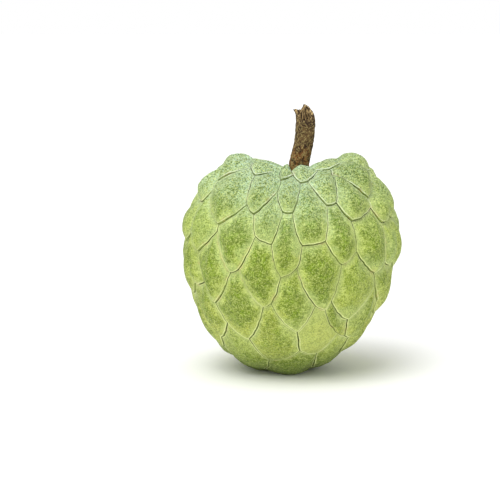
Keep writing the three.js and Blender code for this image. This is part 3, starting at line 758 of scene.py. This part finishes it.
class SkinPainter:
    """Lays the skin's colours one over the other, each as strongly as its masks say."""

    def __init__(self, tree, settings):
        self.tree = tree
        self.settings = settings
        self.seam, self.lie, self.deep, self.theta = map(tree.value_of, ("seam", "lie", "deep", "theta"))
        self.region = mottled(tree, 0.07, 0.1)["Mottle"]
        self.broad = mottled(tree, 0.22, 0.42)
        self.specks = mottled(tree, 0.7, 1.3)
        self.grain = mottled(tree, 1.7, 2.8)["Mottle"]
        self.upper = tree.step(self.theta, *POWDERED)
        self.lower = tree.step(self.theta, *RIPE)
        self.upper_end = tree.step(self.lie, 0.45, -0.3)
        wander = tree.step(self.broad["Mottle"], 0.2, 0.8, WANDER, -WANDER)
        self.middle = tree.step(tree.maths("ADD", self.seam, wander), *MIDDLE)
        paler_tip = tree.product(self.lower, tree.step(self.lie, 0.1, 0.5, top=0.6))
        self.centre = tree.product(self.middle, self.deep, tree.maths("SUBTRACT", 1.0, paler_tip))
        self.base = tree.blend(self.broad["Patches"], settings.green, settings.pale_green)

    def lay(self, paint, *masks):
        """Lays a colour over the ones below it where all its masks are strong."""
        self.base = self.tree.blend(self.tree.product(*masks), self.base, paint)

    def paint_ground(self):
        """Cool and yellow regions, pale borders that are weaker towards each scale's lower end (partly
        painted shade), a few bleached scales, deep middles, and painted shade on the underside and apex near
        the floor.
        """
        tree, settings = self.tree, self.settings
        self.lay(settings.minty, tree.step(self.region, 0.5, 0.85, top=0.4))
        self.lay(settings.ripe_yellow, self.lower, tree.step(self.region, 0.3, 0.7, bottom=0.85, top=0.35))
        # The pale border is laid weaker towards a scale's lower end: partly the scale's own greener tip,
        # partly painted shade on the lower end.
        self.lay(settings.border, tree.step(self.seam, *BORDER), tree.ease(self.upper_end, 0.4, 0.75))
        ripened = tree.blend(tree.product(self.lower, 0.45), settings.border, settings.ripe_yellow)
        self.lay(ripened, tree.step(self.deep, 0.3, 0.0), 0.7)
        # Painted shade: the underside, near the floor, is laid over with deep green.
        self.lay(settings.deep_green, tree.step(self.theta, *SHADED))
        self.lay(settings.deep_green, self.centre)
        self.lay(settings.vivid_green, self.centre, tree.step(self.broad["Specks"], 0.45, 0.85, top=0.8))
        # Painted contact shade: the apex, where the fruit stands on the floor, is darkened with the dark
        # speck colour.
        self.lay(settings.dark_speck_and_shade, tree.step(self.theta, *CONTACT_SHADE, top=0.35))

    def paint_bloom(self):
        """Powdery bloom on the upper scales, thinner on their middles, and thinner towards +X and towards
        each scale's lower end, which is partly painted shade.
        """
        tree = self.tree
        x = tree.add("ShaderNodeSeparateXYZ", 0, {0: tree.place()})
        self.lay(
            self.settings.bloom,
            self.upper,
            tree.step(self.specks["Mottle"], 0.85, 0.25, bottom=0.4),
            tree.step(self.centre, 0.2, 1.0, bottom=1.0, top=0.7),
            # Less bloom towards a scale's lower end: partly the scale's own greener tip, partly painted shade
            # on the lower end.
            tree.ease(self.upper_end, 0.65, 1.0),
            # Painted shade: less bloom towards +X darkens the side away from the key light.
            tree.step(x, *BLOOM_THINNED_AS_SHADE, bottom=1.0, top=0.45),
        )

    def paint_specks(self):
        """Specks and finer grain, dark and pale, fainter beside the lower seams and on bleached scales."""
        tree, settings = self.tree, self.settings
        away = tree.maths("MAXIMUM", tree.step(self.seam, 0.6, 3.0, bottom=0.45), self.upper)
        strength = tree.product(away, tree.step(self.deep, 0.0, 0.4, bottom=0.6))
        dark_specks = tree.step(self.specks["Mottle"], 0.5, 0.95)
        pale_specks = tree.step(self.specks["Patches"], 0.4, 0.1)
        dark_grain = tree.step(self.grain, 0.5, 0.85)
        pale_grain = tree.step(self.grain, 0.47, 0.12)
        self.lay(settings.dark_speck_and_shade, dark_specks, tree.ease(self.middle, 0.25, 0.55), strength)
        self.lay(settings.pale_speck, pale_specks, tree.ease(self.middle, 0.4, 0.15))
        self.lay(settings.dark_speck_and_shade, dark_grain, tree.ease(self.upper, 0.65, 0.9), strength)
        self.lay(settings.pale_speck, pale_grain, tree.ease(self.upper, 0.5, 0.8), strength)

    def paint_seams(self):
        """Painted shade in the grooves and in the creases beside them, between pale lines that are partly
        painted highlight, both faint in some regions, with a rusty tint beside a few.
        """
        tree, settings = self.tree, self.settings
        # Painted shade in the crease beside each seam.
        self.lay(settings.deep_green, tree.step(self.seam, *CREASE_SHADE, top=0.3))
        rusty = tree.step(self.broad["Patches"], 0.85, 1.0, top=0.35)
        self.lay(settings.blush, tree.step(self.seam, *RUST), rusty)
        clear = tree.step(self.region, 0.3, 0.6, bottom=0.5)
        spread = tree.maths("DIVIDE", self.seam, tree.step(self.theta, *WIDER_LINES, bottom=1.0, top=1.4))
        # Pale lines beside the seams: partly the rims' own pale colour, partly a painted highlight where a
        # rim catches the light, strongest on a scale's lower edges.
        self.lay(
            tree.blend(self.upper, settings.rim, settings.frosted_rim_and_highlight),
            tree.step(spread, *LINE_OUTSIDE),
            tree.step(spread, *LINE_INSIDE),
            tree.step(self.lie, -0.5, 0.3, bottom=0.75),
            tree.step(self.theta, *WIDER_LINES, bottom=1.0, top=0.95),
            clear,
            tree.step(self.broad["Specks"], 0.7, 0.3, bottom=0.8),
        )
        at_tip = tree.step(self.lie, 0.85, 1.0, GROOVE_WIDTH, TIP_GROOVE_WIDTH)
        low_down = tree.step(self.theta, *WIDER_GROOVES, GROOVE_WIDTH, LOW_GROOVE_WIDTH)
        width = tree.maths("MAXIMUM", at_tip, low_down)
        # Painted shade: the dark seam colour in the groove, wider at the tips and on the lower scales.
        self.lay(
            settings.seam,
            tree.step(tree.maths("DIVIDE", self.seam, width), 1.0, 0.35),
            tree.step(self.lie, 0.4, 0.95, bottom=1.0, top=0.4),
            clear,
            tree.step(self.broad["Specks"], 0.2, 0.6, bottom=0.65),
        )


def skin_material(settings):
    """Matt green skin: pale borders, mottled deeper middles, fine grain, powdery bloom near the stem, painted
    shade in the seams and underside, and painted highlights on the rims.
    """
    material, tree, shader = new_material("custard_apple_skin")
    painter = SkinPainter(tree, settings)
    painter.paint_ground()
    painter.paint_bloom()
    painter.paint_specks()
    painter.paint_seams()
    tree.feed(shader.inputs["Base Color"], painter.base)
    tree.feed(shader.inputs["Roughness"], tree.step(painter.grain, 0.1, 0.9, bottom=0.6, top=0.75))
    shader.inputs["Specular IOR Level"].default_value = 0.3
    shader.inputs["Sheen Weight"].default_value = 0.1
    shader.inputs["Sheen Roughness"].default_value = 0.45
    lumps = tree.product(painter.specks["Mottle"], tree.ease(painter.upper, 0.45, 1.2))
    height = tree.maths("ADD", lumps, tree.product(painter.grain, 0.35))
    bump = tree.add("ShaderNodeBump", 0, {"Strength": 0.9, "Distance": 0.6 * MM, "Height": height})
    tree.feed(shader.inputs["Normal"], bump)
    return material


def bark_material(settings):
    """Brown bark with a dense net of pale flecks, and streaky torn wood at the end."""
    material, tree, shader = new_material("custard_apple_bark")
    z = tree.add("ShaderNodeSeparateXYZ", 2, {0: tree.place()})
    broad = mottled(tree, 0.25, 0.5)
    fine = mottled(tree, 1.0, 2.1, speck_share=0.55)
    base = tree.blend(broad["Patches"], settings.bark, settings.dark_bark)
    warm = tree.product(tree.step(z, *WARM_FOOT), tree.step(broad["Specks"], 0.3, 0.8))
    base = tree.blend(warm, base, settings.warm_bark)
    flecks = tree.step(fine["Mottle"], 0.45, 0.8, top=0.85)
    base = tree.blend(flecks, base, settings.fleck)
    pits = tree.step(fine["Mottle"], 0.32, 0.1, top=0.8)
    base = tree.blend(pits, base, settings.dark_bark)
    drawn_out = tree.add("ShaderNodeMapping", 0, {0: tree.place(), 3: ALONG_STEM})
    streaks = tree.add("ShaderNodeTexNoise", 0, {"Vector": drawn_out, "Scale": 2.2 / MM, "Detail": 3.0})
    wood = tree.blend(tree.step(streaks, 0.4, 0.62), settings.dark_bark, settings.fibre)
    base = tree.blend(tree.step(tree.value_of("torn"), 0.4, 0.7), base, wood)
    tree.feed(shader.inputs["Base Color"], base)
    tree.feed(shader.inputs["Roughness"], tree.step(fine["Specks"], 0.2, 0.8, bottom=0.75, top=0.95))
    shader.inputs["Specular IOR Level"].default_value = 0.25
    bump = tree.add("ShaderNodeBump", 0, {"Strength": 0.9, "Distance": 0.4 * MM, "Height": fine["Mottle"]})
    tree.feed(shader.inputs["Normal"], bump)
    return material


# ---------------------------------------------------------------- settings


def paint(code):
    """A screen colour such as 'A6C27A' as the linear colour that Blender works in."""
    parts = [int(code[k : k + 2], 16) / 255 for k in (0, 2, 4)]
    return tuple(p / 12.92 if p <= 0.04045 else ((p + 0.055) / 1.055) ** 2.4 for p in parts)


def colour_setting(name, code, description):
    return FloatVectorProperty(
        name=name, description=description, subtype="COLOR", size=3, min=0, max=1, default=paint(code)
    )


def length_setting(name, default, description, least=0.0):
    return FloatProperty(name=name, description=description, default=default, min=least, unit="LENGTH")


def count_setting(name, default, description, least):
    return IntProperty(name=name, description=description, default=default, min=least)


class CustardSkinSettings(PropertyGroup):
    """Sizes and colours of the fruit's skin."""

    seam_step: length_setting("Seam step", 0.9 * MM, "Spacing of the points along a seam", 0.3 * MM)
    inner_rings: count_setting("Inner rings", 8, "Rings of faces inside the rim", 2)
    pebble_height: length_setting("Pebble height", 0.3 * MM, "Height of the small lumps on the upper scales")
    green: colour_setting("Green", "A8BC46", "Main green of the scales")
    pale_green: colour_setting("Pale green", "C0D25C", "Lighter patches of the scales")
    # Deep green is also laid as painted shade on the underside and in the creases beside the seams.
    deep_green: colour_setting("Deep green", "809428", "Darker middle of the scales")
    vivid_green: colour_setting("Vivid green", "86A410", "Blotches in the middle of the scales")
    minty: colour_setting("Minty", "B4D08E", "Cooler regions of the skin")
    ripe_yellow: colour_setting("Ripe yellow", "D6DC62", "Yellower green of the lower scales")
    bloom: colour_setting("Bloom", "DCFFE2", "Powdery bloom on the upper scales")
    border: colour_setting("Border", "C2D280", "Wide pale border of each scale")
    # Rim colours: partly the rims' own pale colour, partly a painted highlight on them.
    rim: colour_setting("Rim", "F0F8A8", "Pale rim of each scale")
    frosted_rim_and_highlight: colour_setting("Frosted rim", "F2FFE4", "The same on the upper scales")
    blush: colour_setting("Blush", "CCA66A", "Faint rusty tint beside some seams")
    # The colour of the real dark specks, also laid thinly over the apex as painted contact shade.
    dark_speck_and_shade: colour_setting("Dark speck", "5C7424", "Dark specks")
    pale_speck: colour_setting("Pale speck", "DAE688", "Pale specks")
    # The seam colour is painted shade at the bottom of the grooves.
    seam: colour_setting("Seam", "485E10", "Bottom of the seams")


class CustardStemSettings(PropertyGroup):
    """Sizes and colours of the stem."""

    sides: count_setting("Sides", 72, "Points round the stem", 12)
    knob_height: length_setting("Knob height", 0.22 * MM, "Height of the bark's knobs")
    bark: colour_setting("Bark", "6A5230", "Main brown of the bark")
    dark_bark: colour_setting("Dark bark", "3A2818", "Furrows of the bark")
    warm_bark: colour_setting("Warm bark", "8A5A2C", "Reddish brown towards the foot")
    fleck: colour_setting("Fleck", "A08C5C", "Pale flecks on the bark")
    fibre: colour_setting("Fibre", "CDB07A", "Torn wood at the end")


class CustardStageSettings(PropertyGroup):
    """Camera, lights and floor."""

    distance: length_setting("Distance", 0.6, "Camera to the fruit")
    elevation: FloatProperty(
        name="Elevation",
        description="Camera above the horizon",
        default=math.radians(8),
        subtype="ANGLE",
    )
    lens: FloatProperty(
        name="Lens",
        description="Focal length",
        default=113.7,
        subtype="DISTANCE_CAMERA",
    )
    floor: colour_setting("Floor", "FAFAFA", "Pale floor")


# ---------------------------------------------------------------- operators


def deselect_all():
    """Leaves edit mode and selects nothing, so that an operator acts on its own piece alone."""
    if bpy.context.object and bpy.context.object.mode != "OBJECT":
        bpy.ops.object.mode_set(mode="OBJECT")
    bpy.ops.object.select_all(action="DESELECT")


def add_object(name, data):
    """Puts a mesh, a lamp or a camera into the scene."""
    made = bpy.data.objects.new(name, data)
    bpy.context.scene.collection.objects.link(made)
    return made


class CUSTARD_OT_skin(Operator):
    """Grow the fruit's skin with all its scales"""

    bl_idname = "custard.skin"
    bl_label = "Fruit skin"

    def execute(self, context):
        settings = context.scene.custard_skin
        skin = add_object("fruit_skin", make_skin(settings))
        skin.data.materials.append(skin_material(settings))
        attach(skin, "root")
        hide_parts("fruit")
        return {"FINISHED"}


def stem_rings(count):
    """(x, y, z, radius) at even shares along the stem, in millimetres."""
    first, last = (np.array(p, float) for p in (STEM_PATH[0], STEM_PATH[-1]))
    second, last_but_one = (np.array(p, float) for p in (STEM_PATH[1], STEM_PATH[-2]))
    guided = [2 * first - second, *STEM_PATH, 2 * last - last_but_one]
    return [spline_point(guided, k / count) for k in range(count + 1)]


def extrude_rings(settings, count):
    """A closed tube of that many rings over a round foot, all of one size: only its faces matter."""
    deselect_all()
    bpy.ops.mesh.primitive_circle_add(vertices=settings.sides, radius=TUBE_RADIUS * MM, fill_type="NGON")
    tube = bpy.context.object
    bpy.ops.object.mode_set(mode="EDIT")
    bpy.ops.mesh.select_all(action="SELECT")
    for _ in range(count - 1):
        bpy.ops.mesh.extrude_region_move(TRANSFORM_OT_translate={"value": (0, 0, MM)})
    bpy.ops.mesh.poke()
    bpy.ops.mesh.select_all(action="SELECT")
    bpy.ops.mesh.normals_make_consistent(inside=False)
    bpy.ops.object.mode_set(mode="OBJECT")
    return tube


def noise_round(turn, lumps, level):
    """Noise at a turn round the stem: the more lumps, the finer it is, and each level has its own pattern."""
    return noise.noise(Vector((math.cos(turn) * lumps, math.sin(turn) * lumps, level)))


def torn_lip(turn):
    """The lip's distance from the middle and its height at a turn in radians, ragged as torn wood is."""
    degrees = math.degrees(turn) % 360
    turns, radii, heights = zip(*TORN_LIP)
    height = np.interp(degrees, turns, heights)
    share = min(1, RAGGED_LEAST + height / RAGGED_RISE)
    ragged = RAGGED * noise_round(turn, RAGGED_LUMPS, RAGGED_LEVEL) * share
    return np.interp(degrees, turns, radii), height + ragged


def stem_places(settings):
    """For each ring of the stem its middle, and a function from a turn to (radius, height, torn)."""
    rings = []
    knobs = settings.knob_height / MM
    path = stem_rings(STEM_RINGS)
    for x, y, z, radius in path:

        def bark(turn, z=z, radius=radius):
            place = Vector((math.cos(turn), math.sin(turn), z / radius)) * radius
            lump = noise.noise(place / KNOB_SIZE) + WRINKLE_SHARE * noise.noise(place / WRINKLE_SIZE)
            return radius + knobs * lump, 0, 0

        rings.append(((x, y, z), bark))
    end, radius = path[-1][:3], path[-1][3]
    for share in WALL_STEPS:

        def wall(turn, share=share):
            lip, height = torn_lip(turn)
            fold = share ** (FOLD_IN if lip < radius else FOLD_OUT)
            lump = noise_round(turn, WALL_LUMPS, share * WALL_LUMPS + WALL_LEVEL)
            return radius + (lip - radius) * fold + knobs * lump, height * share, LIP_TORN * (share == 1)

        rings.append((end, wall))
    for share in HOLLOW_STEPS:

        def hollow(turn, share=share):
            lip, height = torn_lip(turn)
            ridged = HOLLOW_RADIUS + HOLLOW_RIDGES * noise_round(turn, RIDGE_LUMPS, RIDGE_LEVEL)
            inner = (lip - LIP_WIDTH) * (1 - share) + ridged * share
            rise = (height - LIP_SLANT) * (1 - share) + (HOLLOW_TILT * height - HOLLOW_DEPTH / 2) * share
            return inner, rise, 1

        rings.append((end, hollow))
    core_radius, core_share = HOLLOW_CORE
    rings.append((end, lambda turn: (core_radius, -HOLLOW_DEPTH * core_share, 1)))
    return rings


def grow_stem(settings):
    """The stem, ring by ring from its foot to the hollow of its torn end."""
    rings = stem_places(settings)
    stem = extrude_rings(settings, len(rings))
    torn = np.ones(len(stem.data.vertices), np.float32)
    for vertex in stem.data.vertices:
        turn = math.atan2(vertex.co.y, vertex.co.x)
        (x, y, z), ring = rings[round(vertex.co.z / MM)]
        if vertex.co.xy.length < MM:  # the middle of the last ring
            vertex.co = Vector((x, y, z - HOLLOW_DEPTH)) * MM
            continue
        radius, rise, torn[vertex.index] = ring(turn)
        vertex.co = Vector((x + radius * math.cos(turn), y + radius * math.sin(turn), z + rise)) * MM
    mark_torn(stem, torn)
    return stem


def mark_torn(piece, torn):
    """Says of each point of a piece how torn it looks, for the bark's colours."""
    piece.data.attributes.new("torn", "FLOAT", "POINT").data.foreach_set("value", torn)


def grow_fibres(end):
    """Torn fibres that stand in the hollow: thin tapered strands, each a cone leant its own way."""
    series = seeded_series(FIBRE_SEED)

    def draw(low, high):
        return low + (high - low) * next(series)

    first, last = FIBRE_TURNS
    strands = []
    for k in range(FIBRES):
        turn = math.radians(first + (last - first) * draw(k, k + 1) / FIBRES)
        reach = draw(*FIBRE_REACH)
        rise = draw(*FIBRE_LENGTH)
        thick = draw(*FIBRE_RADIUS)
        foot = Vector((end[0] + reach * math.cos(turn), end[1] + reach * math.sin(turn), end[2] - FIBRE_SINK))
        lean = Vector((draw(*FIBRE_LEAN_X), draw(*FIBRE_LEAN_Y), FIBRE_RISE)).normalized()
        deselect_all()
        bpy.ops.mesh.primitive_cone_add(
            vertices=FIBRE_SIDES,
            radius1=thick * MM,
            radius2=FIBRE_TAPER * thick * MM,
            depth=rise * MM,
            location=(foot + lean * rise / 2) * MM,
            rotation=lean.to_track_quat("Z", "Y").to_euler(),
        )
        strand = bpy.context.object
        bpy.ops.object.transform_apply(location=True, rotation=True, scale=True)
        mark_torn(strand, [1.0] * len(strand.data.vertices))
        strands.append(strand)
    return strands


class CUSTARD_OT_stem(Operator):
    """Grow the woody stem with its torn end"""

    bl_idname = "custard.stem"
    bl_label = "Stem"

    def execute(self, context):
        settings = context.scene.custard_stem
        stem = grow_stem(settings)
        strands = grow_fibres(STEM_PATH[-1])
        deselect_all()
        for piece in (stem, *strands):
            piece.select_set(True)
        context.view_layer.objects.active = stem
        bpy.ops.object.join()
        stem.name = "stem_bark"
        stem.data.name = "stem_bark"
        stem.data.materials.append(bark_material(settings))
        stem.data.polygons.foreach_set("use_smooth", [True] * len(stem.data.polygons))
        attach(stem, "root")
        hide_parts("stem")
        return {"FINISHED"}


CAMERA_TARGET = Vector((-13.6, 0, 45.9)) * MM
SENSOR_WIDTH = 36  # millimetres, as the lens
FLOOR_SIZE = 60  # metres, so that its edge is never seen
FILL_LIGHT = 0.65  # strength of the white surround as light; the camera sees it at full strength
# Large soft lamps: (name, where it shines from, how wide it looks in degrees, strength).
LAMPS = (("key", (-0.38, -0.6, 1.0), 40, 1.33), ("top", (-0.1, -0.1, 1.0), 40, 0.92))


def aim_at(piece, target):
    piece.rotation_euler = (target - piece.location).to_track_quat("-Z", "Y").to_euler()


def add_sun(name, place, degrees, strength):
    lamp = bpy.data.lights.new(name, "SUN")
    lamp.angle = math.radians(degrees)
    lamp.energy = strength
    light = add_object(name, lamp)
    light.location = place
    aim_at(light, Vector((0, 0, 0)))


def light_world():
    """An even white surround: it fills the shadows, and the camera sees it as plain white."""
    world = bpy.data.worlds.new("studio")
    bpy.context.scene.world = world
    world.use_nodes = True
    world.node_tree.nodes.clear()
    tree = Tree(world.node_tree)
    seen = tree.add("ShaderNodeLightPath", "Is Camera Ray")
    strength = tree.maths("ADD", tree.maths("MULTIPLY", seen, 1 - FILL_LIGHT), FILL_LIGHT)
    shader = tree.add("ShaderNodeBackground", 0, {"Color": (1, 1, 1), "Strength": strength})
    output = tree.add("ShaderNodeOutputWorld", None)
    world.node_tree.links.new(shader, output.inputs["Surface"])


class CUSTARD_OT_stage(Operator):
    """Set up the floor, the studio lights and the camera"""

    bl_idname = "custard.stage"
    bl_label = "Stage"

    def execute(self, context):
        settings = context.scene.custard_stage
        deselect_all()
        bpy.ops.mesh.primitive_plane_add(size=FLOOR_SIZE, location=(0, 0, 0))
        floor = context.object
        floor.name = "floor"
        material, tree, shader = new_material("pale_floor")
        tree.feed(shader.inputs["Base Color"], tuple(settings.floor))
        shader.inputs["Roughness"].default_value = 0.9
        floor.data.materials.append(material)
        light_world()
        for lamp in LAMPS:
            add_sun(*lamp)
        camera = add_object("camera", bpy.data.cameras.new("camera"))
        back = Vector((0, -math.cos(settings.elevation), math.sin(settings.elevation)))
        camera.location = CAMERA_TARGET + back * settings.distance
        camera.data.lens = settings.lens
        camera.data.sensor_width = SENSOR_WIDTH
        aim_at(camera, CAMERA_TARGET)
        context.scene.camera = camera
        context.scene.view_settings.view_transform = "Standard"
        return {"FINISHED"}


class CUSTARD_PT_panel(Panel):
    """Lists the pieces"""

    bl_idname = "CUSTARD_PT_panel"
    bl_label = "Custard Apple"
    bl_space_type = "VIEW_3D"
    bl_region_type = "UI"
    bl_category = "Custard Apple"

    def draw(self, context):
        for operator in (CUSTARD_OT_skin, CUSTARD_OT_stem, CUSTARD_OT_stage):
            self.layout.operator(operator.bl_idname)


CLASSES = (
    CustardSkinSettings, CustardStemSettings, CustardStageSettings,
    CUSTARD_OT_skin, CUSTARD_OT_stem, CUSTARD_OT_stage, CUSTARD_PT_panel,
)


def register():
    for made in CLASSES:
        bpy.utils.register_class(made)
    bpy.types.Scene.custard_skin = PointerProperty(type=CustardSkinSettings)
    bpy.types.Scene.custard_stem = PointerProperty(type=CustardStemSettings)
    bpy.types.Scene.custard_stage = PointerProperty(type=CustardStageSettings)


def unregister():
    del bpy.types.Scene.custard_stage
    del bpy.types.Scene.custard_stem
    del bpy.types.Scene.custard_skin
    for made in reversed(CLASSES):
        bpy.utils.unregister_class(made)


def main():
    register()
    bpy.ops.custard.skin()
    bpy.ops.custard.stem()
    bpy.ops.custard.stage()


if __name__ == "__main__":
    main()
